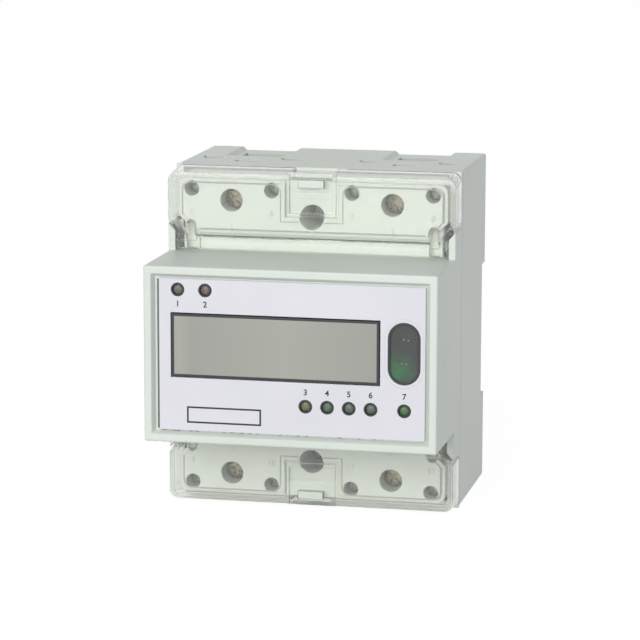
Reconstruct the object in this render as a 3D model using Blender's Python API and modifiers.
"""Single-phase energy meter for a 35 mm rail, four modules wide, with clear hinged terminal covers.

Metres, +Z up, front towards -Y. The origin is the middle of the face that rests on the rail.
Depths are measured back from the display block's front, heights out from the block's middle line.
"""

import math

import bmesh
import bpy
from mathutils import Matrix, Vector

# Driving sizes
WIDTH = 0.076
DEPTH = 0.074
BLOCK_HEIGHT = 0.0456
TERMINAL_HEIGHT = 0.0217
WALL = 0.002
CORNER = 0.0006
GAP = 0.0003
LOOSE = 0.0004
HEIGHT = BLOCK_HEIGHT + 2 * TERMINAL_HEIGHT
HALF_WIDTH = WIDTH / 2
HALF_HEIGHT = HEIGHT / 2
HALF_BLOCK = BLOCK_HEIGHT / 2

# Rail seat
RAIL_WIDTH = 0.035
RAIL_FLANGE = 0.001
RAIL_PLAY = 0.0005
RAIL_DEPTH = 0.005
SEAT_WALL = 0.0025
BLOCK_ABOVE_RAIL = 0.0031
HOOK_GRIP = 0.001
HOOK_WIDTH = 0.014
HOOK_SPREAD = 0.015
SHUT_OFF = 0.0012
FRONT_Y = RAIL_DEPTH - DEPTH
GROOVE_HALF = RAIL_WIDTH / 2 + RAIL_PLAY
INNER_BACK = DEPTH - RAIL_DEPTH - SEAT_WALL

# Display block and its front
BLOCK_BEVEL = 0.0005
RIM = 0.0020
RIM_SLOPE = 0.0008
RECESS = 0.0015
FRONT_WALL = 0.0020
LABEL_THICK = 0.0005
LABEL_INSET_LEFT = 0.0012
LABEL_INSET = 0.0004

# Display: its margins to the left side and to the block's upper and lower edges, and its gap to the port
LCD_LEFT = 0.0073
LCD_ABOVE = 0.0122
LCD_BELOW = 0.0172
LCD_TO_PORT = 0.0023
LCD_BORDER = 0.0007
LCD_FRAME_DEPTH = 0.0028
LCD_GLASS_LAP = 0.0015
LCD_GLASS_THICK = 0.0020
LCD_CARRIER_DEPTH = 0.0055
LCD_HEIGHT = BLOCK_HEIGHT - LCD_ABOVE - LCD_BELOW

# Optical port with its two infrared parts, one above the other
PORT_EDGE = 0.0086
PORT_RAISE = 0.0026
PORT_WIDTH = 0.0082
PORT_LENS_THICK = 0.0012
PORT_WALL = 0.0008
PORT_FLANGE = 0.0009
INFRARED_R = 0.0024
INFRARED_TIP_DEPTH = 0.0030
SENDER_CLEAR = 0.0012
RECEIVER_CLEAR = 0.0006
PORT_END_CLEAR = 0.0021
INFRARED_FOOT_LAP = 0.00036
INFRARED_OFFSETS = {"infrared_sender": INFRARED_R + SENDER_CLEAR,
                    "infrared_receiver": -INFRARED_R - RECEIVER_CLEAR}
PORT_AT = (HALF_WIDTH - PORT_EDGE, PORT_RAISE)
PORT_SIZE = (PORT_WIDTH, 2 * (2 * INFRARED_R + SENDER_CLEAR + PORT_END_CLEAR))
LCD_WIDTH = WIDTH - LCD_LEFT - PORT_EDGE - PORT_WIDTH / 2 - LCD_TO_PORT
LCD_SIZE = (LCD_WIDTH, LCD_HEIGHT)
LCD_AT = (LCD_LEFT + LCD_WIDTH / 2 - HALF_WIDTH, (LCD_BELOW - LCD_ABOVE) / 2)

# Lamps: two at the upper left, four in a row at the lower right, and one below the port
LAMP_HOLE_R = 0.0018
LAMP_R = 0.00145
LAMP_FLANGE_R = 0.0019
LAMP_FLANGE_THICK = 0.001
LAMP_TIP_DEPTH = 0.0013
LAMP_PITCH = 0.0056
LAMP_TOP = 0.0060
LAMP_FOOT = 0.0108
LAMP_FIRST = 0.0089
LAMP_SECOND = 0.01605
LAMP_ROW_EDGE = 0.0171
LAMP_LAST = 0.0085
LAMP_ROW_END = HALF_WIDTH - LAMP_ROW_EDGE
LAMPS = {
    "power_lamp": (LAMP_FIRST - HALF_WIDTH, HALF_BLOCK - LAMP_TOP),
    "pulse_lamp": (LAMP_SECOND - HALF_WIDTH, HALF_BLOCK - LAMP_TOP),
    "reverse_lamp": (LAMP_ROW_END - 3 * LAMP_PITCH, LAMP_FOOT - HALF_BLOCK),
    "tariff_lamp_1": (LAMP_ROW_END - 2 * LAMP_PITCH, LAMP_FOOT - HALF_BLOCK),
    "tariff_lamp_2": (LAMP_ROW_END - LAMP_PITCH, LAMP_FOOT - HALF_BLOCK),
    "tariff_lamp_3": (LAMP_ROW_END, LAMP_FOOT - HALF_BLOCK),
    "data_lamp": (HALF_WIDTH - LAMP_LAST, LAMP_FOOT - HALF_BLOCK),
}

# Terminal faces, as heights above the meter's back, and the seam between the housing halves
FACE_ABOVE_BACK = 0.0470
SEAM_ABOVE_BACK = 0.0385
FACE_STEP = 0.0007
NOTCH_SINK = 0.0012
FLANGE_THICK = 0.0014
FACE_WALL = 0.0022
FACE_SIDE_INSET = 0.0024
FACE_EDGE_INSET = 0.0026
FACE_BORDER = 0.0010
FACE_CORNER = 0.0022
FACE_CHAMFER = 0.0045
NOTCH_HALF_WIDTH = 0.0071
NOTCH_INNER_INSET = 0.0122
SLEEVE_WALL = 0.0007
FACE_DEPTH = DEPTH - FACE_ABOVE_BACK
STEP_DEPTH = FACE_DEPTH + FACE_STEP
NOTCH_DEPTH = FACE_DEPTH + NOTCH_SINK
SEAM_DEPTH = DEPTH - SEAM_ABOVE_BACK
FLANGE_DEPTH = SEAM_DEPTH - FLANGE_THICK
FACE_HALF_WIDTH = HALF_WIDTH - FACE_SIDE_INSET
FACE_OUTER = HALF_HEIGHT - FACE_EDGE_INSET

# Terminals: a small one in columns 1 and 3 and a main one in column 2, on either side of the middle
COLUMN_MARGIN = 0.00145
COLUMN_PITCH = (WIDTH - COLUMN_MARGIN) / 7
MAIN = {
    "columns": (-2, 2), "inset": 0.0082, "hole_r": 0.0030, "sides": 20,
    "head_r": 0.0027, "sink": 0.0048, "shank_r": 0.0023, "slot": 0.0010, "slot_deep": 0.0014,
    "strip": 0.0015, "strip_width": 0.0060, "bar_above_back": 0.0180, "web_gap": 0.0010,
    "cage_width": 0.0090, "cage_length": 0.0090, "cage_side": 0.0012, "cage_nut": 0.0022,
    "cage_foot": 0.0018, "nut_lead": 0.0032, "mouth": 0.0071,
}
AUX = {
    "columns": (-3, -1, 1, 3), "inset": 0.0054, "hole_r": 0.0020, "sides": 12,
    "head_r": 0.0017, "sink": 0.0050, "shank_r": 0.0012, "slot": 0.0006, "slot_deep": 0.0008,
    "strip": 0.0008, "strip_width": 0.0034, "bar_above_back": 0.0274, "web_gap": 0.0008,
    "cage_width": 0.0058, "cage_length": 0.0052, "cage_side": 0.0009, "cage_nut": 0.0016,
    "cage_foot": 0.0012, "nut_lead": 0.0024, "mouth": 0.0042,
}
for kind in (MAIN, AUX):
    kind["head_depth"] = FACE_DEPTH + kind["sink"]
    kind["bar_depth"] = DEPTH - kind["bar_above_back"]
LIMB_DEPTH = SEAM_DEPTH + GAP

# Long screws that hold the housing together
DEEP_HOLE_R = 0.00325
DEEP_HOLE_INSET = 0.0121
DEEP_HOLE_PAST_SEAM = 0.0075
DEEP_HOLE_END = SEAM_DEPTH + DEEP_HOLE_PAST_SEAM
HOUSING_SCREW_HEAD_R = 0.0028
HOUSING_SCREW_HEAD = 0.0020
HOUSING_SCREW_R = 0.0014
HOUSING_SCREW_LENGTH = 0.0150
HOUSING_SCREW_SLOT = 0.0009
BOSS_WALL = 0.0014
BOSS_CLEAR = 0.0014

# Wire entries in the top and bottom faces
MAIN_ENTRY = {"length": 0.0110, "half_width": 0.0055}
SCOOP = {"lead": 0.0010, "half_width": 0.0072, "depth": 0.0010}
AUX_ENTRY = {"past_bar": 0.0034, "radius": 0.00275, "flat": 0.0018}
VENT_SLOT = {"past_seam": 0.0068, "length": 0.0032, "half_width": 0.0031}
PARTITION = 0.0010
PARTITION_PAST_SEAM = 0.0025
PARTITION_START = SEAM_DEPTH + PARTITION_PAST_SEAM
FLOOR_PAST_BLOCK = 0.0042
CHAMBER_FLOOR = HALF_BLOCK + FLOOR_PAST_BLOCK

# Clear covers and their hinges
COVER_ABOVE_FACE = 0.0020
COVER_WALL = 0.0014
COVER_FRONT_TAPER = 0.0010
COVER_SHOULDER = 0.0082
COVER_FOOT = 0.0047
COVER_CORNER_INSET = 0.0025
COVER_DEPTH = FACE_DEPTH - COVER_ABOVE_FACE
COVER_BASE_DEPTH = FLANGE_DEPTH - GAP
COVER_CORNER_HEIGHT = HALF_BLOCK + COVER_SHOULDER
COVER_CORNER_FOOT = HALF_BLOCK + COVER_FOOT
HINGE_CLEAR = 0.0004
HINGE_ROD_R = 0.0020
HINGE_PIN_R = 0.0010
HINGE_DEPTH = FACE_DEPTH
HINGE_HEIGHT = HALF_BLOCK + HINGE_CLEAR + HINGE_ROD_R
FACE_INNER = HINGE_HEIGHT + HINGE_ROD_R + GAP
EAR_WIDTH = 0.0018
EAR_SETBACK = 0.0006
EAR_HEIGHT = 0.0052
EAR_SLOPE = 0.0020
FINGER_INSET = 0.0058
FINGER_WIDTH = 0.0021
FINGER_REACH = 0.0046
FINGER_DEPTH = 0.0030
FINGER_FLOOR = 0.0035
FINGER_AT = HALF_WIDTH - FINGER_INSET
TRAY_HALF_WIDTH = 0.0056
TRAY_LENGTH = 0.0109
TRAY_OUTER_INSET = 0.0006
TRAY_DROP = 0.0010
TRAY_WALL = 0.0009
TRAY_INNER = HALF_HEIGHT - TRAY_LENGTH
CATCH_HALF_WIDTH = 0.0033
CATCH_WIDTH = 0.0020
CATCH_INSET = 0.0023
CATCH_HIGH = HALF_HEIGHT - CATCH_INSET
CATCH_LOW = CATCH_HIGH - CATCH_WIDTH
CATCH_TOP_DEPTH = COVER_DEPTH + COVER_WALL / 2
RIB_WIDTH = 0.0020
TRAY_RIB = (CATCH_LOW - TRAY_DROP - RIB_WIDTH, CATCH_LOW - TRAY_DROP)

# Rail clip
CLIP_GRIP = 0.0014
CLIP_HALF_WIDTH = 0.0090
CLIP_FLANGE = 0.0030
CLIP_FLANGE_THICK = 0.0016
CLIP_RIB_THICK = 0.0017
CLIP_END_INSET = 0.0008
CLIP_SLOT = 0.0008
CLIP_ARM_LENGTH = 0.0120
CLIP_PRY_HALF = 0.0025

# Boards and what they carry
BOARD_THICK = 0.0016
BOARD_DEPTH = RECESS + FRONT_WALL + 3 * GAP + LCD_GLASS_THICK + LCD_CARRIER_DEPTH
DISPLAY_BOARD_INSET = 0.0012
DISPLAY_POST_R = 0.0020
DISPLAY_POST_INSET = 0.0032
STAKE_R = 0.0009
STAKE_PROUD = 0.0010
POWER_BOARD_DEPTH = AUX["bar_depth"] - LOOSE
POWER_BOARD_INSET = 0.0030
POWER_BOARD_PAST_BLOCK = 0.0017
POWER_BOARD_HALF = (HALF_WIDTH - WALL - POWER_BOARD_INSET, HALF_BLOCK + POWER_BOARD_PAST_BLOCK)
POST_R = 0.0022
POST_INSET = (0.0045, 0.0075)
POST_AT = (POWER_BOARD_HALF[0] - POST_INSET[0], POWER_BOARD_HALF[1] - POST_INSET[1])
HEADER_SIZE = (0.0160, 0.0050)
HEADER_X = 0.0060
HEADER_MARGIN = 0.0098
HEADER_AT = (HEADER_X, HEADER_MARGIN - HALF_BLOCK)
DROPPER_SIZE = (0.0180, 0.0140, 0.0085)
DROPPER_X = -0.0120
DROPPER_MARGIN = 0.0088
DROPPER_AT = (DROPPER_X, HALF_BLOCK - DROPPER_MARGIN)
RESERVOIR_R = 0.0050
RESERVOIR_LENGTH = 0.0160
RESERVOIR_X = 0.0140
RESERVOIR_MARGIN = 0.0108
RESERVOIR_AT = (RESERVOIR_X, HALF_BLOCK - RESERVOIR_MARGIN)
CELL_R = 0.0100
CELL_THICK = 0.0032
CELL_MARGIN = (0.0190, 0.0168)
CELL_AT = (CELL_MARGIN[0] - HALF_WIDTH, CELL_MARGIN[1] - HALF_BLOCK)
SHUNT_MIDDLE = 0.0100
SHUNT_WAIST = 0.0010
AUX_TAB_LAP = 0.0020
SOLDER_LAP = 0.0002

# How far the tools that cut through a surface stand out of it
OVER = 0.001


def at(x, depth, height):
    """A point from its place right of the middle, behind the front, and above the block's middle line."""
    return Vector((x, FRONT_Y + depth, BLOCK_ABOVE_RAIL + height))


def column_x(column):
    """Columns 1 and 3 are small terminals and column 2 a main one, on either side of the middle."""
    return column * COLUMN_PITCH


def make_material(name, colour, roughness, metallic=0.0, transmission=0.0):
    material = bpy.data.materials.new(name)
    material.use_nodes = True
    shader = material.node_tree.nodes["Principled BSDF"]
    shader.inputs["Base Color"].default_value = (*colour, 1.0)
    shader.inputs["Roughness"].default_value = roughness
    shader.inputs["Metallic"].default_value = metallic
    shader.inputs["Transmission Weight"].default_value = transmission
    return material


def clear_scene():
    for thing in list(bpy.data.objects):
        bpy.data.objects.remove(thing, do_unlink=True)


def new_collection(name):
    collection = bpy.data.collections.new(name)
    bpy.context.scene.collection.children.link(collection)
    return collection


clear_scene()
METER = new_collection("energy_meter")
CUTTERS = new_collection("cutters")

HOUSING_PLASTIC = make_material("housing_plastic", (0.62, 0.65, 0.61), 0.45)
CLEAR_PLASTIC = make_material("clear_plastic", (0.90, 0.92, 0.90), 0.08, transmission=0.9)
LABEL_FILM = make_material("label_film", (0.76, 0.76, 0.80), 0.5)
BLACK_PLASTIC = make_material("black_plastic", (0.02, 0.02, 0.02), 0.4)
DISPLAY_GLASS = make_material("display_glass", (0.34, 0.36, 0.31), 0.2)
SMOKED_LENS = make_material("smoked_lens", (0.08, 0.09, 0.09), 0.15, transmission=0.6)
LAMP_RESIN = make_material("lamp_resin", (0.28, 0.34, 0.22), 0.25, transmission=0.3)
INFRARED_RESIN = make_material("infrared_resin", (0.05, 0.05, 0.07), 0.15)
BOARD_LAMINATE = make_material("board_laminate", (0.04, 0.20, 0.09), 0.5)
SCREW_METAL = make_material("screw_metal", (0.50, 0.47, 0.38), 0.35, metallic=1.0)
CAGE_METAL = make_material("cage_metal", (0.62, 0.60, 0.55), 0.35, metallic=1.0)
BRASS = make_material("brass", (0.70, 0.55, 0.25), 0.35, metallic=1.0)
COPPER = make_material("copper", (0.72, 0.42, 0.28), 0.35, metallic=1.0)
CAPACITOR_CASE = make_material("capacitor_case", (0.05, 0.10, 0.25), 0.4)
CLIP_PLASTIC = make_material("clip_plastic", (0.50, 0.52, 0.50), 0.5)


def new_object(name, bm, material, collection=METER):
    bmesh.ops.recalc_face_normals(bm, faces=bm.faces)
    mesh = bpy.data.meshes.new(name)
    bm.to_mesh(mesh)
    bm.free()
    mesh.materials.append(material)
    thing = bpy.data.objects.new(name, mesh)
    collection.objects.link(thing)
    return thing


def add_box(bm, low, high):
    low, high = Vector(low), Vector(high)
    size, middle = high - low, (high + low) / 2
    place = Matrix.Translation(middle) @ Matrix.Diagonal((*size, 1.0))
    bmesh.ops.create_cube(bm, size=1.0, matrix=place)


def add_rod(bm, start, end, radius, sides=24, end_radius=None):
    start, end = Vector(start), Vector(end)
    turn = (end - start).to_track_quat("Z", "Y").to_matrix().to_4x4()
    place = Matrix.Translation((start + end) / 2) @ turn
    bmesh.ops.create_cone(
        bm, cap_ends=True, segments=sides, radius1=radius, depth=(end - start).length, matrix=place,
        radius2=radius if end_radius is None else end_radius)


def box(name, low, high, material=HOUSING_PLASTIC, collection=METER):
    bm = bmesh.new()
    add_box(bm, low, high)
    return new_object(name, bm, material, collection)


def tool_box(name, low, high):
    return box(name, low, high, collection=CUTTERS)


def tool_boxes(name, pairs):
    """Boxes that don't touch each other, as one tool."""
    bm = bmesh.new()
    for low, high in pairs:
        add_box(bm, low, high)
    return new_object(name, bm, HOUSING_PLASTIC, CUTTERS)


def tool_rods(name, rods, sides=24):
    """Round bars that don't touch each other, as one tool: start, end and radius of each."""
    bm = bmesh.new()
    for start, end, radius in rods:
        add_rod(bm, start, end, radius, sides)
    return new_object(name, bm, HOUSING_PLASTIC, CUTTERS)


def add_turned(bm, start, along, across, profile, sides):
    """A turned body: the distance along its axis, from the start, and the radius of each profile point."""
    along, across = Vector(along), Vector(across)
    points = [bm.verts.new(start + distance * along + radius * across) for distance, radius in profile]
    edges = [bm.edges.new(pair) for pair in zip(points, points[1:])]
    bmesh.ops.spin(bm, geom=points + edges, cent=start, axis=along, angle=math.tau, steps=sides,
                   use_merge=True)
    bmesh.ops.remove_doubles(bm, verts=bm.verts, dist=1e-6)


def slab(name, outline, near, far, material=HOUSING_PLASTIC, collection=METER):
    """A flat outline of (x, height) points, closed and filled, thickened between two depths."""
    curve = bpy.data.curves.new(name, "CURVE")
    curve.dimensions = "2D"
    curve.fill_mode = "BOTH"
    curve.extrude = (far - near) / 2
    spline = curve.splines.new("POLY")
    spline.points.add(len(outline) - 1)
    for point, (x, height) in zip(spline.points, outline):
        point.co = (x, height, 0.0, 1.0)
    spline.use_cyclic_u = True
    sketch = bpy.data.objects.new(name + "_sketch", curve)
    collection.objects.link(sketch)
    middle = at(0.0, (near + far) / 2, 0.0)
    sketch.matrix_world = Matrix.Translation(middle) @ Matrix.Rotation(math.pi / 2, 4, "X")
    bpy.context.view_layer.update()
    mesh = bpy.data.meshes.new_from_object(sketch.evaluated_get(bpy.context.evaluated_depsgraph_get()))
    place = sketch.matrix_world.copy()
    bpy.data.objects.remove(sketch, do_unlink=True)
    bm = bmesh.new()
    bm.from_mesh(mesh)
    bpy.data.meshes.remove(mesh)
    bmesh.ops.remove_doubles(bm, verts=bm.verts, dist=1e-6)
    bm.transform(place)
    return new_object(name, bm, material, collection)


def boolean(target, tool, operation):
    modifier = target.modifiers.new(operation.lower() + "_" + tool.name, "BOOLEAN")
    modifier.operation = operation
    modifier.solver = "EXACT"
    modifier.object = tool
    tool.hide_render = True
    tool.display_type = "WIRE"
    return target


def cut(target, *tools):
    for tool in tools:
        boolean(target, tool, "DIFFERENCE")
    return target


def fuse(target, *tools):
    for tool in tools:
        boolean(target, tool, "UNION")
    return target


def round_edges(target, width, segments=2):
    bevel = target.modifiers.new("rounded_edges", "BEVEL")
    bevel.width = width
    bevel.segments = segments
    bevel.limit_method = "ANGLE"
    bevel.angle_limit = math.radians(40)
    return target


def arc_points(centre, radius, start, end, steps):
    """Points on an arc, from one angle to another in degrees."""
    for step in range(steps + 1):
        angle = math.radians(start + (end - start) * step / steps)
        yield centre[0] + radius * math.cos(angle), centre[1] + radius * math.sin(angle)


def stadium(centre, size, steps=7):
    """Outline of a tall slot with round ends."""
    radius = size[0] / 2
    reach = size[1] / 2 - radius
    return [*arc_points((centre[0], centre[1] + reach), radius, 0, 180, steps),
            *arc_points((centre[0], centre[1] - reach), radius, 180, 360, steps)]


def rectangle(centre, size, grow=0.0):
    half_x, half_z = size[0] / 2 + grow, size[1] / 2 + grow
    return [(centre[0] - half_x, centre[1] - half_z), (centre[0] + half_x, centre[1] - half_z),
            (centre[0] + half_x, centre[1] + half_z), (centre[0] - half_x, centre[1] + half_z)]


def flip(outline, side):
    """The same outline above the middle line, or mirrored below it."""
    return [(x, side * height) for x, height in outline]


def span(first, second):
    """Low and high corners of the box between two points, whichever way round they are."""
    return (Vector(map(min, zip(first, second))), Vector(map(max, zip(first, second))))


def add_extrusion(bm, corners, shift):
    """A flat face through the corners, thickened by the shift."""
    face = bm.faces.new([bm.verts.new(corner) for corner in corners])
    raised = bmesh.ops.extrude_face_region(bm, geom=[face])["geom"]
    lifted = [item for item in raised if isinstance(item, bmesh.types.BMVert)]
    bmesh.ops.translate(bm, verts=lifted, vec=shift)


def plan_slab(name, outline, low, high, collection=CUTTERS):
    """A flat outline of (x, depth) points seen from above, thickened between two heights."""
    bm = bmesh.new()
    add_extrusion(bm, [at(x, depth, low) for x, depth in outline], (0.0, 0.0, high - low))
    return new_object(name, bm, HOUSING_PLASTIC, collection)


def drafted_box(name, low, high, draft, side):
    """A cutter box whose end at the given side of Z is wider by the draft, for sloping walls."""
    bm = bmesh.new()
    add_box(bm, low, high)
    middle = (Vector(low) + Vector(high)) / 2
    for vert in bm.verts:
        if (vert.co.z - middle.z) * side > 0:
            vert.co.x += math.copysign(draft, vert.co.x - middle.x)
            vert.co.y += math.copysign(draft, vert.co.y - middle.y)
    return new_object(name, bm, HOUSING_PLASTIC, CUTTERS)


def terminal_height(kind, side):
    return side * (HALF_HEIGHT - kind["inset"])


def partition_places():
    """Middles of the upright walls between terminal columns, each centred in the gap between two cages."""
    half_main, half_aux = MAIN["cage_width"] / 2, AUX["cage_width"] / 2
    inner = (column_x(1) + half_aux + column_x(2) - half_main) / 2
    outer = (column_x(2) + half_main + column_x(3) - half_aux) / 2
    return inner, outer


def chamber_spans():
    """Left and right side of each terminal chamber, from the left wall to the right wall."""
    inner, outer = partition_places()
    middles = (-outer, -inner, inner, outer)
    lefts = [-(HALF_WIDTH - WALL), *(middle + PARTITION / 2 for middle in middles)]
    rights = [*(middle - PARTITION / 2 for middle in middles), HALF_WIDTH - WALL]
    return list(zip(lefts, rights))


def clip_channel_half():
    return CLIP_HALF_WIDTH + CLIP_FLANGE + LOOSE


def build_base_housing():
    base = box("base_housing", at(-HALF_WIDTH, SEAM_DEPTH + GAP, -HALF_HEIGHT),
               at(HALF_WIDTH, DEPTH, HALF_HEIGHT))
    round_edges(base, CORNER)
    side_wall, end_wall = HALF_WIDTH - WALL, HALF_HEIGHT - WALL
    groove = tool_box("rail_groove", (-HALF_WIDTH - OVER, 0.0, -GROOVE_HALF),
                      (HALF_WIDTH + OVER, RAIL_DEPTH + OVER, GROOVE_HALF))
    mouth = tool_box("base_mouth", at(-side_wall, SEAM_DEPTH - OVER, -end_wall),
                     at(side_wall, PARTITION_START, end_wall))
    foot_back = DEPTH - WALL
    pockets = [(at(-side_wall, PARTITION_START - OVER, -CHAMBER_FLOOR),
                at(side_wall, INNER_BACK, CHAMBER_FLOOR))]
    for side in (1, -1):
        for left, right in chamber_spans():
            behind_clip = side < 0 and left < clip_channel_half() and right > -clip_channel_half()
            back = INNER_BACK if behind_clip else foot_back
            pockets.append(span(at(left, PARTITION_START - OVER, side * (CHAMBER_FLOOR + PARTITION)),
                                at(right, back, side * end_wall)))
    chambers = tool_boxes("terminal_chambers", pockets)
    cut(base, mouth, chambers, *foot_reliefs(side_wall))
    fuse(base, board_posts(), screw_bosses())
    cut(base, groove)
    fuse(base, *hook_lips())
    cut(base, seat_shut_offs(), screw_boss_holes(), floor_notches(), *wire_entries(), *clip_channel())
    return base


def foot_reliefs(side_wall):
    """Hollows behind the terminals, where there is room for one beside the rail groove."""
    front, back = -SEAT_WALL - OVER, RAIL_DEPTH - WALL
    beside_clip = clip_channel_half() + WALL
    places = []
    top, low = BLOCK_ABOVE_RAIL + CHAMBER_FLOOR, GROOVE_HALF + WALL
    if top > low + WALL:
        places.append(((-side_wall, front, low), (side_wall, back, top)))
    bottom, high = BLOCK_ABOVE_RAIL - CHAMBER_FLOOR, -GROOVE_HALF - WALL
    if bottom < high - WALL:
        places += [((beside_clip, front, bottom), (side_wall, back, high)),
                   ((-side_wall, front, bottom), (-beside_clip, back, high))]
    return [tool_boxes("foot_reliefs", places)] if places else []


def seat_shut_offs():
    """Pockets in the rail seat under the hook lips and the clip's lip, so that none stands over it."""
    lip_low = RAIL_WIDTH / 2 - HOOK_GRIP - LOOSE
    pockets = [((side * HOOK_SPREAD - HOOK_WIDTH / 2 - LOOSE, -SHUT_OFF, lip_low),
                (side * HOOK_SPREAD + HOOK_WIDTH / 2 + LOOSE, OVER, GROOVE_HALF + GAP)) for side in (1, -1)]
    clip_half = CLIP_HALF_WIDTH + LOOSE
    pockets.append(((-clip_half, -SHUT_OFF, -GROOVE_HALF - GAP),
                    (clip_half, OVER, CLIP_GRIP + LOOSE - RAIL_WIDTH / 2)))
    return tool_boxes("seat_shut_offs", pockets)


def post_places(half_x, half_z):
    return [(x, z) for x in (-half_x, half_x) for z in (-half_z, half_z)]


def board_posts():
    """Posts from the back up to the power board, each with a stake through a hole of the board. The rail
    groove, cut after them, trims those that stand on its wall."""
    return stepped_posts("power_board_posts", post_places(*POST_AT), POWER_BOARD_DEPTH - STAKE_PROUD,
                         POWER_BOARD_DEPTH + BOARD_THICK + GAP, DEPTH - WALL / 2, POST_R)


def stepped_posts(name, places, tip, seat, root, radius):
    """Posts from a root to a board's seat, each with a thinner stake that runs on to the tip."""
    profile = [(tip, 0.0), (tip, STAKE_R), (seat, STAKE_R), (seat, radius), (root, radius), (root, 0.0)]
    bm = bmesh.new()
    for x, z in places:
        add_turned(bm, at(x, 0.0, z), (0, 1, 0), (1, 0, 0), profile, 12)
    return new_object(name, bm, HOUSING_PLASTIC, CUTTERS)


def boss_front():
    return DEEP_HOLE_END + BOSS_WALL + BOSS_CLEAR


def deep_hole_height(side):
    return side * (HALF_HEIGHT - DEEP_HOLE_INSET)


def screw_bosses():
    radius = HOUSING_SCREW_R + GAP + BOSS_WALL
    bm = bmesh.new()
    for side, back in ((1, DEPTH - WALL / 2), (-1, INNER_BACK + SEAT_WALL / 2)):
        height = deep_hole_height(side)
        add_rod(bm, at(0.0, boss_front(), height), at(0.0, back, height), radius, 20)
    return new_object("screw_bosses", bm, HOUSING_PLASTIC, CUTTERS)


def screw_boss_holes():
    depth = DEEP_HOLE_END + HOUSING_SCREW_LENGTH + GAP
    return tool_rods("screw_boss_holes", [
        (at(0.0, DEEP_HOLE_END, deep_hole_height(side)), at(0.0, depth, deep_hole_height(side)),
         HOUSING_SCREW_R + GAP) for side in (1, -1)], sides=16)


def hook_lips():
    """Two lips that catch the upper edge of the rail from behind."""
    lips = []
    for side in (1, -1):
        lips.append(tool_box(
            "hook_lip_right" if side > 0 else "hook_lip_left",
            (side * HOOK_SPREAD - HOOK_WIDTH / 2, RAIL_FLANGE + LOOSE, GROOVE_HALF - RAIL_PLAY - HOOK_GRIP),
            (side * HOOK_SPREAD + HOOK_WIDTH / 2, RAIL_DEPTH - CORNER, GROOVE_HALF + WALL / 2)))
    return lips


def floor_notches():
    """Slots in the floors of the chambers, open towards the front, that the contact strips pass through."""
    pairs = []
    for side in (1, -1):
        for kind in (MAIN, AUX):
            half = kind["strip_width"] / 2 + 2 * LOOSE
            for column in kind["columns"]:
                end = kind["bar_depth"] + kind["strip"] + 2 * LOOSE
                pairs.append(span(
                    at(column_x(column) - half, PARTITION_START - OVER, side * (CHAMBER_FLOOR - OVER)),
                    at(column_x(column) + half, end, side * (CHAMBER_FLOOR + PARTITION + OVER))))
    return tool_boxes("floor_notches", pairs)


def wire_entries():
    tools = []
    plain = []
    for side, word in ((1, "upper"), (-1, "lower")):
        low, high = sorted((side * (HALF_HEIGHT - WALL - OVER), side * (HALF_HEIGHT + OVER)))
        for column in MAIN["columns"]:
            x = column_x(column)
            half = MAIN_ENTRY["half_width"]
            start = MAIN["bar_depth"]
            plain.append(span(at(x - half, start, low), at(x + half, start + MAIN_ENTRY["length"], high)))
            half = VENT_SLOT["half_width"]
            start = SEAM_DEPTH + VENT_SLOT["past_seam"]
            plain.append(span(at(x - half, start, low), at(x + half, start + VENT_SLOT["length"], high)))
            half = SCOOP["half_width"]
            start = MAIN["bar_depth"] - SCOOP["lead"]
            scoop = span(at(x - half, start, side * (HALF_HEIGHT - SCOOP["depth"])),
                         at(x + half, DEPTH + 2 * OVER, side * (HALF_HEIGHT + SCOOP["depth"])))
            tools.append(drafted_box(f"scoop_{word}_{column}", *scoop, 2 * SCOOP["depth"], side))
        for column in AUX["columns"]:
            tools.append(aux_entry(f"aux_entry_{word}_{column}", column_x(column), low, high))
    return [tool_boxes("plain_entries", plain), *tools]


def aux_entry(name, x, low, high):
    """A hole with a round front side and a flat back side."""
    radius, flat = AUX_ENTRY["radius"], AUX_ENTRY["flat"]
    middle = AUX["bar_depth"] + AUX_ENTRY["past_bar"]
    outline = [(x - radius, middle + flat), *arc_points((x, middle), radius, 180, 360, 8),
               (x + radius, middle + flat)]
    return plan_slab(name, outline, low, high)


def clip_channel():
    """The rail clip's guide: a wide slot for its flanges and a narrower one that is open to the back."""
    bottom = BLOCK_ABOVE_RAIL - HALF_HEIGHT - OVER
    top = -GROOVE_HALF + OVER
    wide = clip_channel_half()
    narrow = CLIP_HALF_WIDTH + LOOSE
    lip = RAIL_DEPTH - CLIP_RIB_THICK
    floor = lip - CLIP_FLANGE_THICK - LOOSE
    return [tool_box("clip_channel_wide", (-wide, floor, bottom), (wide, lip, top)),
            tool_box("clip_channel_narrow", (-narrow, floor, bottom), (narrow, RAIL_DEPTH + OVER, top))]


def terminal_outline(inner, inset=0.0, steps=4):
    """Half of the terminal part's outline: chamfered towards the block, rounded at the outer corners."""
    half, outer = FACE_HALF_WIDTH - inset, FACE_OUTER - inset
    chamfer = FACE_CHAMFER - inset * (2 - math.sqrt(2))
    radius = FACE_CORNER - inset / 2
    shoulder = FACE_INNER + inset + chamfer
    return [(half - chamfer, inner), (half - chamfer, FACE_INNER + inset), (half, shoulder),
            *arc_points((half - radius, outer - radius), radius, 0, 90, steps),
            *arc_points((-half + radius, outer - radius), radius, 90, 180, steps),
            (-half, shoulder), (-half + chamfer, FACE_INNER + inset), (-half + chamfer, inner)]


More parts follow.
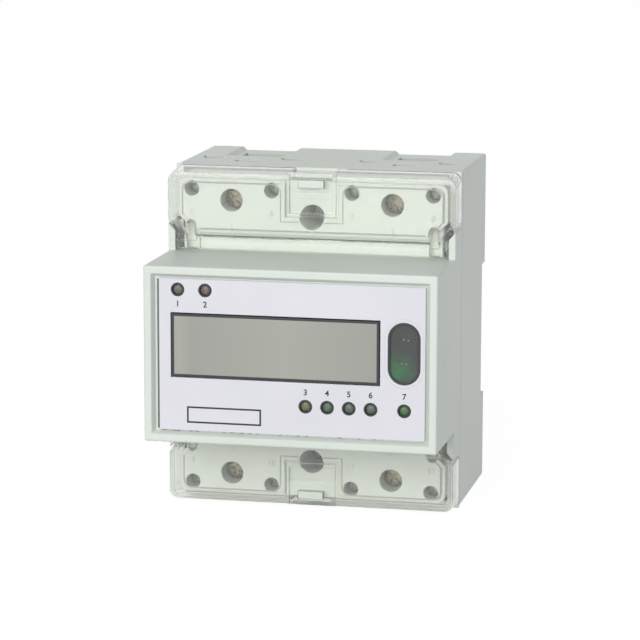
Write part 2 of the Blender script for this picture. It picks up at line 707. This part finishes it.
def build_deck(side):
    """One terminal face: a stepped, hollow platform with the hinge channel between it and the block."""
    word = "upper" if side > 0 else "lower"
    inside_block = HALF_BLOCK - WALL / 2
    deck = slab("deck_" + word, flip(terminal_outline(inside_block), side),
                STEP_DEPTH, SEAM_DEPTH - OVER / 2, collection=CUTTERS)
    face = slab("face_" + word, flip(terminal_outline(FACE_INNER + FACE_BORDER, FACE_BORDER)[1:-1], side),
                FACE_DEPTH, STEP_DEPTH + OVER, collection=CUTTERS)
    channel = tool_box("hinge_channel_" + word, *span(
        at(-FACE_HALF_WIDTH - OVER, FACE_DEPTH - OVER, side * (inside_block - OVER)),
        at(FACE_HALF_WIDTH + OVER, deck_depth(), side * FACE_INNER)))
    hollow = slab("hollow_" + word, flip(terminal_outline(FACE_INNER, FACE_WALL, 1)[1:-1], side),
                  FACE_DEPTH + FACE_WALL, SEAM_DEPTH + OVER, collection=CUTTERS)
    waist = FACE_HALF_WIDTH - FACE_CHAMFER - FACE_WALL
    under_channel = tool_box("under_channel_" + word, *span(
        at(-waist, deck_depth() + FACE_WALL, side * (HALF_BLOCK + GAP)),
        at(waist, SEAM_DEPTH + OVER, side * (FACE_INNER + FACE_WALL + OVER))))
    notch = tool_box("notch_" + word, *span(
        at(-NOTCH_HALF_WIDTH, FACE_DEPTH - OVER, side * (HALF_HEIGHT - NOTCH_INNER_INSET)),
        at(NOTCH_HALF_WIDTH, NOTCH_DEPTH, side * (HALF_HEIGHT + OVER))))
    fuse(deck, face)
    cut(deck, channel, hollow, under_channel, notch)
    return fuse(deck, catch(side))


def deck_depth():
    return HINGE_DEPTH + HINGE_ROD_R + 2 * GAP


def build_front_housing():
    front = box("front_housing", at(-HALF_WIDTH, 0.0, -HALF_BLOCK), at(HALF_WIDTH, SEAM_DEPTH, HALF_BLOCK))
    round_edges(front, BLOCK_BEVEL)
    flange = tool_box("flange", at(-HALF_WIDTH, FLANGE_DEPTH, -HALF_HEIGHT),
                      at(HALF_WIDTH, SEAM_DEPTH, HALF_HEIGHT))
    fuse(front, flange)
    room = HALF_HEIGHT - WALL
    mouths = [span(at(-HALF_WIDTH + WALL, FLANGE_DEPTH - OVER, side * (HALF_BLOCK + GAP)),
                   at(HALF_WIDTH - WALL, SEAM_DEPTH + OVER, side * room)) for side in (1, -1)]
    block_hollow = tool_box("block_hollow", at(-HALF_WIDTH + WALL, RECESS + FRONT_WALL, -HALF_BLOCK + WALL),
                            at(HALF_WIDTH - WALL, SEAM_DEPTH + OVER, HALF_BLOCK - WALL))
    cut(front, tool_boxes("flange_mouths", mouths))
    for side in (1, -1):
        fuse(front, build_deck(side), *(hinge_ear(side, end) for end in (1, -1)))
    cut(front, block_hollow)
    fuse(front, display_posts(), screw_sleeves())
    cut(front, screw_holes(), deep_screw_holes(), label_recess(), *front_openings())
    cut(front, hinge_pin_holes(), *finger_slots())
    return front


def hinge_ear(side, end):
    """An upright lug beside each terminal face, with a sloping top, that holds a hinge pin."""
    inner, outer = HALF_WIDTH - EAR_WIDTH, HALF_WIDTH
    root = HALF_BLOCK - WALL / 2
    outline = [(end * inner, side * root), (end * outer, side * root),
               (end * outer, side * (HALF_BLOCK + EAR_HEIGHT + EAR_SLOPE)),
               (end * inner, side * (HALF_BLOCK + EAR_HEIGHT))]
    name = f"ear_{'upper' if side > 0 else 'lower'}_{'right' if end > 0 else 'left'}"
    return slab(name, outline, COVER_DEPTH + EAR_SETBACK, FLANGE_DEPTH + WALL / 2, collection=CUTTERS)


def catch(side):
    name = "catch_upper" if side > 0 else "catch_lower"
    return tool_box(name, *span(at(-CATCH_HALF_WIDTH, CATCH_TOP_DEPTH, side * CATCH_LOW),
                                at(CATCH_HALF_WIDTH, NOTCH_DEPTH + FACE_WALL / 2, side * CATCH_HIGH)))


def terminal_places(kind):
    return [(column_x(column), terminal_height(kind, side))
            for side in (1, -1) for column in kind["columns"]]


def screw_sleeves():
    bm = bmesh.new()
    for kind in (MAIN, AUX):
        for x, z in terminal_places(kind):
            add_rod(bm, at(x, FACE_DEPTH + FACE_WALL / 2, z), at(x, SEAM_DEPTH - GAP / 2, z),
                    kind["hole_r"] + SLEEVE_WALL, kind["sides"])
    for side in (1, -1):
        height = deep_hole_height(side)
        add_rod(bm, at(0.0, NOTCH_DEPTH + GAP, height), at(0.0, DEEP_HOLE_END + BOSS_WALL, height),
                DEEP_HOLE_R + SLEEVE_WALL, 20)
    return new_object("screw_sleeves", bm, HOUSING_PLASTIC, CUTTERS)


def screw_holes():
    bm = bmesh.new()
    for kind in (MAIN, AUX):
        for x, z in terminal_places(kind):
            add_rod(bm, at(x, COVER_DEPTH - OVER, z), at(x, SEAM_DEPTH + OVER, z), kind["hole_r"],
                    kind["sides"])
    for side in (1, -1):
        height = deep_hole_height(side)
        add_rod(bm, at(0.0, COVER_DEPTH - OVER, height), at(0.0, DEEP_HOLE_END, height), DEEP_HOLE_R, 20)
    return new_object("screw_holes", bm, HOUSING_PLASTIC, CUTTERS)


def deep_screw_holes():
    return tool_rods("deep_screw_holes", [
        (at(0.0, DEEP_HOLE_END - OVER, deep_hole_height(side)),
         at(0.0, DEEP_HOLE_END + BOSS_WALL + OVER, deep_hole_height(side)), HOUSING_SCREW_R + GAP)
        for side in (1, -1)], sides=16)


def display_post_places():
    return post_places(HALF_WIDTH - WALL - DISPLAY_POST_INSET, HALF_BLOCK - WALL - DISPLAY_POST_INSET)


def display_posts():
    """Posts behind the front wall for the display board, each with a stake through a hole of the board."""
    tip = BOARD_DEPTH + BOARD_THICK + STAKE_PROUD
    return stepped_posts("display_board_posts", display_post_places(), tip, BOARD_DEPTH - GAP,
                         RECESS + FRONT_WALL / 2, DISPLAY_POST_R)


def label_recess():
    """The sunk field of the block's front, with a narrow slope inside its rim."""
    bm = bmesh.new()
    add_box(bm, at(-HALF_WIDTH + RIM, -RECESS, -HALF_BLOCK + RIM),
            at(HALF_WIDTH - RIM, RECESS, HALF_BLOCK - RIM))
    for vert in bm.verts:
        if vert.co.y > FRONT_Y:
            vert.co.x -= math.copysign(RIM_SLOPE, vert.co.x)
            vert.co.z -= math.copysign(RIM_SLOPE, vert.co.z - BLOCK_ABOVE_RAIL)
        else:
            vert.co.x += math.copysign(RIM_SLOPE, vert.co.x)
            vert.co.z += math.copysign(RIM_SLOPE, vert.co.z - BLOCK_ABOVE_RAIL)
    return new_object("label_recess", bm, HOUSING_PLASTIC, CUTTERS)


def front_openings(suffix=""):
    """Cutters for the display window, the optical port and the lamps."""
    near, far = -OVER, RECESS + FRONT_WALL + OVER
    window = slab("display_window" + suffix, rectangle(LCD_AT, LCD_SIZE, GAP), near, far,
                  collection=CUTTERS)
    port_size = (PORT_SIZE[0] + 2 * GAP, PORT_SIZE[1] + 2 * GAP)
    port = slab("port_hole" + suffix, stadium(PORT_AT, port_size), near, far, collection=CUTTERS)
    lamps = tool_rods("lamp_holes" + suffix, [
        (at(x, near, z), at(x, far, z), LAMP_HOLE_R) for x, z in LAMPS.values()], sides=14)
    return [window, port, lamps]


def hinge_pin_holes():
    reach = HALF_WIDTH - EAR_WIDTH / 3
    return tool_rods("hinge_pin_holes", [
        (at(end * (HALF_WIDTH - EAR_WIDTH - OVER), HINGE_DEPTH, side * HINGE_HEIGHT),
         at(end * reach, HINGE_DEPTH, side * HINGE_HEIGHT), HINGE_PIN_R + GAP)
        for side in (1, -1) for end in (1, -1)], sides=16)


def finger_slots():
    half = FINGER_WIDTH / 2 + LOOSE
    top = HINGE_HEIGHT + math.hypot(FINGER_REACH, FINGER_DEPTH) + GAP
    slots = []
    for side, word in ((1, "upper"), (-1, "lower")):
        for end in (1, -1):
            x = end * FINGER_AT
            outline = [(x - half, HALF_BLOCK + WALL / 2), (x + half, HALF_BLOCK + WALL / 2),
                       *arc_points((x, top - half), half, 0, 180, 6)]
            slots.append(slab(f"finger_slot_{word}_{end}", flip(outline, side), COVER_DEPTH - OVER,
                              SEAM_DEPTH - FINGER_FLOOR, collection=CUTTERS))
    return slots


def cover_outline(side, inset=0.0, open_side=False):
    """Outline of a cover from the front: chamfered beside the hinge, rounded at the outer corners."""
    rise = COVER_CORNER_HEIGHT - COVER_CORNER_FOOT
    shift = inset * math.hypot(COVER_CORNER_INSET, rise) / rise
    half, outer = HALF_WIDTH - inset, HALF_HEIGHT - inset
    waist = HALF_WIDTH - COVER_CORNER_INSET - shift
    knee = COVER_CORNER_HEIGHT + (shift - inset) * rise / COVER_CORNER_INSET
    bottom = HALF_BLOCK - WALL if open_side else HINGE_HEIGHT
    radius = FACE_CORNER - inset
    outline = [(-waist, bottom), (waist, bottom), (waist, COVER_CORNER_FOOT), (half, knee),
               *arc_points((half - radius, outer - radius), radius, 0, 90, 4),
               *arc_points((-half + radius, outer - radius), radius, 90, 180, 4),
               (-half, knee), (-waist, COVER_CORNER_FOOT)]
    return flip(outline, side)


def tapered_cover(name, outline, near, far, side, collection):
    """A slab whose front end is drawn in at the outer edge, as the covers' outer walls are."""
    thing = slab(name, outline, near, far, CLEAR_PLASTIC, collection)
    straight = HALF_HEIGHT - FACE_CORNER - COVER_WALL
    for vert in thing.data.vertices:
        height = side * (vert.co.z - BLOCK_ABOVE_RAIL)
        if vert.co.y < FRONT_Y + (near + far) / 2 and height > straight:
            vert.co.z -= side * COVER_FRONT_TAPER
    return thing


def build_cover(side):
    word = "upper" if side > 0 else "lower"
    cover = tapered_cover("cover_" + word, cover_outline(side), COVER_DEPTH, COVER_BASE_DEPTH, side, METER)
    inside = tapered_cover("cover_hollow_" + word, cover_outline(side, COVER_WALL, open_side=True),
                           COVER_DEPTH + COVER_WALL, COVER_BASE_DEPTH + OVER, side, CUTTERS)
    swing_room = tool_box("swing_room_" + word, *span(
        at(-HALF_WIDTH - OVER, HINGE_DEPTH + FINGER_DEPTH - 2 * GAP,
           side * (HINGE_HEIGHT - HINGE_ROD_R - OVER)),
        at(HALF_WIDTH + OVER, COVER_BASE_DEPTH + OVER, side * (COVER_CORNER_HEIGHT - 2 * GAP))))
    tray_gap = tool_box("tray_gap_" + word, *span(
        at(-TRAY_HALF_WIDTH, COVER_DEPTH - OVER, side * TRAY_INNER),
        at(TRAY_HALF_WIDTH, COVER_BASE_DEPTH + OVER, side * (HALF_HEIGHT + OVER))))
    cut(cover, inside, swing_room, tray_gap)
    fuse(cover, hinge_shaft(side, word), *cover_fingers(side, word), latch_tray(side, word))
    window = tool_box("latch_window_" + word, *span(
        at(-CATCH_HALF_WIDTH - GAP, COVER_DEPTH - OVER, side * (CATCH_LOW - GAP)),
        at(CATCH_HALF_WIDTH + GAP, NOTCH_DEPTH + OVER, side * (CATCH_HIGH + GAP))))
    cut(cover, window)
    return cover


def hinge_shaft(side, word, sides=24):
    """The rod along a cover's inner edge, with a thinner pin at each end, turned in one piece."""
    half = HALF_WIDTH - COVER_CORNER_INSET + GAP
    pin_end = HALF_WIDTH - EAR_WIDTH / 3 - GAP
    profile = [(-pin_end, 0.0), (-pin_end, HINGE_PIN_R), (-half, HINGE_PIN_R), (-half, HINGE_ROD_R),
               (half, HINGE_ROD_R), (half, HINGE_PIN_R), (pin_end, HINGE_PIN_R), (pin_end, 0.0)]
    bm = bmesh.new()
    add_turned(bm, at(0.0, HINGE_DEPTH, side * HINGE_HEIGHT), (1, 0, 0), (0, 0, 1), profile, sides)
    return new_object("hinge_shaft_" + word, bm, CLEAR_PLASTIC, CUTTERS)


def cover_fingers(side, word):
    """Two stop fingers behind the plate, which dip into the slots of the terminal face."""
    fingers = []
    for end in (1, -1):
        fingers.append(tool_box(f"stop_finger_{word}_{end}", *span(
            at(end * FINGER_AT - FINGER_WIDTH / 2, COVER_DEPTH + COVER_WALL / 2, side * HINGE_HEIGHT),
            at(end * FINGER_AT + FINGER_WIDTH / 2, HINGE_DEPTH + FINGER_DEPTH,
               side * (HINGE_HEIGHT + FINGER_REACH)))))
    return fingers


def latch_tray(side, word):
    """The sunk middle of a cover: a floor for the catch's window, a stiffening rib and an outer wall."""
    near = COVER_DEPTH + COVER_WALL - GAP / 2
    far = near + TRAY_DROP
    rib_top = COVER_DEPTH + COVER_WALL / 2
    outer = HALF_HEIGHT - TRAY_OUTER_INSET
    inner = TRAY_INNER - TRAY_WALL
    half = TRAY_HALF_WIDTH + TRAY_WALL
    foot, wall = COVER_BASE_DEPTH - GAP, outer - COVER_FRONT_TAPER
    section = [(near, inner), (near, TRAY_RIB[0]), (rib_top, TRAY_RIB[0] + GAP),
               (rib_top, TRAY_RIB[1] - GAP), (near, TRAY_RIB[1]), (near, outer), (foot, outer),
               (foot, wall), (far, wall), (far, inner)]
    bm = bmesh.new()
    add_extrusion(bm, [at(-half, depth, side * height) for depth, height in section], (2 * half, 0.0, 0.0))
    return new_object("latch_tray_" + word, bm, CLEAR_PLASTIC, CUTTERS)


def turned(name, profile, x, height, sides, material):
    """A turned piece along the depth: radius and depth of each profile point, from front to back."""
    mesh = bpy.data.meshes.new(name)
    points = [(radius, 0.0, -depth) for radius, depth in profile]
    mesh.from_pydata(points, [(first, first + 1) for first in range(len(points) - 1)], [])
    mesh.materials.append(material)
    thing = bpy.data.objects.new(name, mesh)
    METER.objects.link(thing)
    thing.location = at(x, 0.0, height)
    thing.rotation_euler = (math.pi / 2, 0.0, 0.0)
    screw = thing.modifiers.new("turned", "SCREW")
    screw.axis = "Z"
    screw.steps = screw.render_steps = sides
    screw.use_merge_vertices = True
    screw.merge_threshold = 0.00001
    screw.use_smooth_shade = False
    return thing


def build_terminal_screw(kind, name, x, height):
    head_end = LIMB_DEPTH - GAP
    tip = kind["bar_depth"] - GAP
    chamfer = kind["slot"] / 2
    head_r, shank_r, top = kind["head_r"], kind["shank_r"], kind["head_depth"]
    profile = [(0.0, top), (head_r - chamfer, top), (head_r, top + chamfer), (head_r, head_end),
               (shank_r, head_end), (shank_r, tip - chamfer), (shank_r - chamfer, tip), (0.0, tip)]
    screw = turned(name, profile, x, height, kind["sides"], SCREW_METAL)
    half = kind["slot"] / 2
    slot = tool_box(name + "_slot", at(x - half, top - OVER, height - head_r - OVER),
                    at(x + half, top + kind["slot_deep"], height + head_r + OVER))
    return cut(screw, slot)


def build_cage(kind, name, x, height):
    """A box frame that the screw lifts: threaded front wall, two sides, and a foot under the wire."""
    half_x, half_z = kind["cage_width"] / 2, kind["cage_length"] / 2
    nut_back = kind["bar_depth"] - kind["nut_lead"]
    nut_front = nut_back - kind["cage_nut"]
    foot_front = kind["bar_depth"] + kind["strip"] + kind["mouth"]
    cage = box(name, at(x - half_x, nut_front, height - half_z),
               at(x + half_x, foot_front + kind["cage_foot"], height + half_z), CAGE_METAL)
    inner = half_x - kind["cage_side"]
    throat = tool_box(name + "_throat", at(x - inner, nut_back, height - half_z - OVER),
                      at(x + inner, foot_front, height + half_z + OVER))
    thread = tool_rods(name + "_thread", [
        (at(x, nut_front - OVER, height), at(x, nut_back + OVER / 2, height), kind["shank_r"] + GAP)],
        sides=kind["sides"])
    return cut(cage, throat, thread)


def add_contact(bm, kind, column, side, inner_end, tab_depth=None):
    """A bent strip: a limb under the screw head, a web, a bar for the wire, and a tab at the boards."""
    x, height = column_x(column), terminal_height(kind, side)
    half, strip = kind["strip_width"] / 2, kind["strip"]
    limb_end = height + side * (kind["shank_r"] + GAP + strip)
    bar_end = height + side * kind["cage_length"] / 2
    web_out = height - side * (kind["cage_length"] / 2 + kind["web_gap"])
    web_in = web_out - side * strip
    limb, limb_back = LIMB_DEPTH, LIMB_DEPTH + strip
    bar, bar_back = kind["bar_depth"], kind["bar_depth"] + strip
    tab = bar if tab_depth is None else tab_depth
    outline = [(limb, limb_end), (limb_back, limb_end), (limb_back, web_out), (bar, web_out),
               (bar, bar_end), (bar_back, bar_end)]
    outline += [] if tab_depth is None else [(bar_back, web_in), (tab + strip, web_in)]
    outline += [(tab + strip, inner_end), (tab, inner_end), (tab, web_in), (limb, web_in)]
    add_extrusion(bm, [at(x - half, depth, z) for depth, z in outline], (2 * half, 0.0, 0.0))


def limb_hole(kind, column, side):
    x, height = column_x(column), terminal_height(kind, side)
    return (at(x, LIMB_DEPTH - OVER, height), at(x, LIMB_DEPTH + kind["strip"] + OVER, height),
            kind["shank_r"] + GAP)


def build_main_contact(name, column, side):
    bm = bmesh.new()
    add_contact(bm, MAIN, column, side, side * (CHAMBER_FLOOR - MAIN["strip"]))
    contact = new_object(name, bm, BRASS)
    return cut(contact, tool_rods(name + "_hole", [limb_hole(MAIN, column, side)], sides=MAIN["sides"]))


def fuse_aux_contacts(board):
    """The eight small contact strips, soldered to the power board and modelled in one with it."""
    places = [(column, side) for side in (1, -1) for column in AUX["columns"]]
    bm = bmesh.new()
    for column, side in places:
        add_contact(bm, AUX, column, side, side * (POWER_BOARD_HALF[1] - AUX_TAB_LAP),
                    POWER_BOARD_DEPTH - AUX["strip"] + SOLDER_LAP)
    strips = new_object("auxiliary_contact_strips", bm, BRASS, CUTTERS)
    cut(strips, tool_rods("auxiliary_contact_holes", [limb_hole(AUX, *place) for place in places],
                          sides=AUX["sides"]))
    return fuse(board, strips)


def build_link(name, column, waist):
    """A flat strap that joins the upper and lower contact of a column; the shunt's has a narrow middle."""
    x, half = column_x(column), MAIN["strip_width"] / 2
    end = CHAMBER_FLOOR - MAIN["strip"] - GAP
    half_waist = half - waist
    shoulder = SHUNT_MIDDLE + waist
    outline = [(x - half, -end), (x + half, -end), (x + half, -shoulder), (x + half_waist, -SHUNT_MIDDLE),
               (x + half_waist, SHUNT_MIDDLE), (x + half, shoulder), (x + half, end), (x - half, end),
               (x - half, shoulder), (x - half_waist, SHUNT_MIDDLE), (x - half_waist, -SHUNT_MIDDLE),
               (x - half, -shoulder)]
    if waist == 0.0:
        outline = rectangle((x, 0.0), (2 * half, 2 * end))
    return slab(name, outline, MAIN["bar_depth"], MAIN["bar_depth"] + MAIN["strip"], COPPER)


def build_terminals():
    side_words = ((1, "upper"), (-1, "lower"))
    for side, word in side_words:
        for column in MAIN["columns"]:
            end = "left" if column < 0 else "right"
            place = (column_x(column), terminal_height(MAIN, side))
            build_terminal_screw(MAIN, f"main_screw_{word}_{end}", *place)
            build_cage(MAIN, f"main_cage_{word}_{end}", *place)
            build_main_contact(f"main_contact_{word}_{end}", column, side)
        for number, column in enumerate(AUX["columns"], 1):
            place = (column_x(column), terminal_height(AUX, side))
            build_terminal_screw(AUX, f"auxiliary_screw_{word}_{number}", *place)
            build_cage(AUX, f"auxiliary_cage_{word}_{number}", *place)
    build_link("current_shunt", MAIN["columns"][0], SHUNT_WAIST)
    build_link("neutral_link", MAIN["columns"][1], 0.0)


def label_near():
    return RECESS - GAP - LABEL_THICK


def build_label():
    half_x = HALF_WIDTH - RIM - RIM_SLOPE
    half_z = HALF_BLOCK - RIM - RIM_SLOPE - LABEL_INSET
    outline = [(-half_x + LABEL_INSET_LEFT, -half_z), (half_x - LABEL_INSET, -half_z),
               (half_x - LABEL_INSET, half_z), (-half_x + LABEL_INSET_LEFT, half_z)]
    label = slab("front_label", outline, label_near(), RECESS - GAP, LABEL_FILM)
    return cut(label, *front_openings(suffix="_in_label"))


def build_display():
    frame = slab("display_frame", rectangle(LCD_AT, LCD_SIZE), label_near(), label_near() + LCD_FRAME_DEPTH,
                 BLACK_PLASTIC)
    cut(frame, slab("frame_opening", rectangle(LCD_AT, LCD_SIZE, -LCD_BORDER), -OVER,
                    RECESS + FRONT_WALL + OVER, collection=CUTTERS))
    glass_near = RECESS + FRONT_WALL + GAP
    glass_far = glass_near + LCD_GLASS_THICK
    slab("display_glass", rectangle(LCD_AT, LCD_SIZE, LCD_GLASS_LAP), glass_near, glass_far, DISPLAY_GLASS)
    carrier = slab("display_carrier", rectangle(LCD_AT, LCD_SIZE, LCD_GLASS_LAP), glass_far + GAP,
                   BOARD_DEPTH - GAP, BLACK_PLASTIC)
    lamp_room = [(at(x, glass_far, z), at(x, BOARD_DEPTH, z), LAMP_FLANGE_R + GAP)
                 for x, z in LAMPS.values()]
    return cut(carrier, tool_rods("lamp_room", lamp_room, sides=16))


def build_port_lens():
    near = label_near()
    wall_back = RECESS + FRONT_WALL + GAP
    lens = slab("port_lens", stadium(PORT_AT, PORT_SIZE), near, wall_back + PORT_FLANGE, SMOKED_LENS)
    wide = (PORT_SIZE[0] + 2 * PORT_WALL, PORT_SIZE[1] + 2 * PORT_WALL)
    narrow = (PORT_SIZE[0] - 2 * PORT_WALL, PORT_SIZE[1] - 2 * PORT_WALL)
    fuse(lens, slab("port_flange", stadium(PORT_AT, wide), wall_back, wall_back + PORT_FLANGE,
                    collection=CUTTERS))
    return cut(lens, slab("port_hollow", stadium(PORT_AT, narrow), near + PORT_LENS_THICK,
                          wall_back + PORT_FLANGE + OVER, collection=CUTTERS))


def dome_profile(radius, tip, foot, flange_r, flange, steps=4):
    """Half outline of a small resin lamp: round nose, straight body and a wider foot."""
    nose = [(radius * math.sin(math.radians(90 * step / steps)),
             tip + radius * (1 - math.cos(math.radians(90 * step / steps)))) for step in range(steps + 1)]
    return [*nose, (radius, foot - flange), (flange_r, foot - flange), (flange_r, foot), (0.0, foot)]


def build_lamps():
    foot = BOARD_DEPTH - GAP
    for name, (x, height) in LAMPS.items():
        profile = dome_profile(LAMP_R, LAMP_TIP_DEPTH, foot, LAMP_FLANGE_R, LAMP_FLANGE_THICK, 3)
        turned(name, profile, x, height, 12, LAMP_RESIN)
    for name, offset in INFRARED_OFFSETS.items():
        profile = dome_profile(INFRARED_R, INFRARED_TIP_DEPTH, foot, INFRARED_R + INFRARED_FOOT_LAP,
                               LAMP_FLANGE_THICK)
        turned(name, profile, PORT_AT[0], PORT_AT[1] + offset, 16, INFRARED_RESIN)


def build_boards():
    half_x = HALF_WIDTH - WALL - DISPLAY_BOARD_INSET
    half_z = HALF_BLOCK - WALL - DISPLAY_BOARD_INSET
    display = box("display_board", at(-half_x, BOARD_DEPTH, -half_z),
                  at(half_x, BOARD_DEPTH + BOARD_THICK, half_z), BOARD_LAMINATE)
    cut(display, tool_rods("display_board_holes", [
        (at(x, BOARD_DEPTH - OVER, z), at(x, BOARD_DEPTH + BOARD_THICK + OVER, z), STAKE_R + GAP)
        for x, z in display_post_places()], sides=12))
    half_x, half_z = POWER_BOARD_HALF
    near, far = POWER_BOARD_DEPTH, POWER_BOARD_DEPTH + BOARD_THICK
    power = box("power_board", at(-half_x, near, -half_z), at(half_x, far, half_z), BOARD_LAMINATE)
    cut(power, tool_rods("power_board_holes", [
        (at(x, near - OVER, z), at(x, far + OVER, z), STAKE_R + GAP) for x, z in post_places(*POST_AT)],
        sides=12))
    fuse_aux_contacts(power)


def build_housing_screws():
    seat = DEEP_HOLE_END - GAP
    head_top = seat - HOUSING_SCREW_HEAD
    tip = DEEP_HOLE_END + HOUSING_SCREW_LENGTH
    point = HOUSING_SCREW_R / 2
    profile = [(0.0, head_top), (HOUSING_SCREW_HEAD_R, head_top), (HOUSING_SCREW_HEAD_R, seat),
               (HOUSING_SCREW_R, seat), (HOUSING_SCREW_R, tip - point), (point, tip), (0.0, tip)]
    for side, word in ((1, "upper"), (-1, "lower")):
        height = deep_hole_height(side)
        screw = turned("housing_screw_" + word, profile, 0.0, height, 20, SCREW_METAL)
        reach, half = HOUSING_SCREW_HEAD_R + OVER, HOUSING_SCREW_SLOT / 2
        cut(screw, tool_box(f"housing_screw_slot_{word}", at(-reach, head_top - OVER, height - half),
                            at(reach, head_top + HOUSING_SCREW_SLOT, height + half)))


def build_board_parts():
    near, far = POWER_BOARD_DEPTH - GAP, BOARD_DEPTH + BOARD_THICK + GAP
    x, z = DROPPER_AT
    width, deep, tall = DROPPER_SIZE
    dropper = box("dropper_capacitor", at(x - width / 2, near - deep, z - tall / 2),
                  at(x + width / 2, near, z + tall / 2), CAPACITOR_CASE)
    round_edges(dropper, CORNER, 1)
    x, z = RESERVOIR_AT
    top = near - RESERVOIR_LENGTH
    profile = [(0.0, top), (RESERVOIR_R - CORNER, top), (RESERVOIR_R, top + CORNER), (RESERVOIR_R, near),
               (0.0, near)]
    turned("reservoir_capacitor", profile, x, z, 20, CAPACITOR_CASE)
    x, z = CELL_AT
    back = far + CELL_THICK
    profile = [(0.0, far), (CELL_R, far), (CELL_R, back - CORNER), (CELL_R - CORNER, back), (0.0, back)]
    turned("clock_cell", profile, x, z, 24, SCREW_METAL)
    x, z = HEADER_AT
    box("board_link", at(x - HEADER_SIZE[0] / 2, far, z - HEADER_SIZE[1] / 2),
        at(x + HEADER_SIZE[0] / 2, near, z + HEADER_SIZE[1] / 2), BLACK_PLASTIC)


def build_rail_clip():
    """A sliding clip: a rib with side flanges, a sloping lip that grips the rail, and two spring arms."""
    lip_back = RAIL_DEPTH - GAP
    front = RAIL_DEPTH - CLIP_RIB_THICK - CLIP_FLANGE_THICK - LOOSE + GAP
    shelf = RAIL_DEPTH - CLIP_RIB_THICK - GAP
    bottom = BLOCK_ABOVE_RAIL - HALF_HEIGHT + CLIP_END_INSET
    top = -RAIL_WIDTH / 2 + CLIP_GRIP
    clip = box("rail_clip", (-CLIP_HALF_WIDTH, front, bottom), (CLIP_HALF_WIDTH, lip_back, top),
               CLIP_PLASTIC)
    for vert in clip.data.vertices:
        if vert.co.z > 0.5 * (bottom + top) and vert.co.y > 0.5 * (front + lip_back):
            vert.co.z -= CLIP_GRIP
    wide = CLIP_HALF_WIDTH + CLIP_FLANGE
    flange_top = -GROOVE_HALF - GAP
    fuse(clip, tool_box("clip_flanges", (-wide, front, bottom), (wide, shelf, flange_top)))
    slits = [((side * CLIP_HALF_WIDTH, front - OVER, bottom - OVER),
              (side * (CLIP_HALF_WIDTH + CLIP_SLOT), lip_back + OVER, bottom + CLIP_ARM_LENGTH))
             for side in (1, -1)]
    cut(clip, tool_boxes("clip_slits", [span(*slit) for slit in slits]))
    pry = tool_box("clip_pry_slot", (-CLIP_PRY_HALF, front - OVER, bottom + CLIP_END_INSET * 2),
                   (CLIP_PRY_HALF, lip_back + OVER, bottom + CLIP_END_INSET * 2 + CLIP_PRY_HALF))
    return cut(clip, pry)


def main():
    build_base_housing()
    build_front_housing()
    build_cover(1)
    build_cover(-1)
    build_terminals()
    build_label()
    build_display()
    build_port_lens()
    build_lamps()
    build_boards()
    build_board_parts()
    build_housing_screws()
    build_rail_clip()
    bpy.context.view_layer.update()


main()
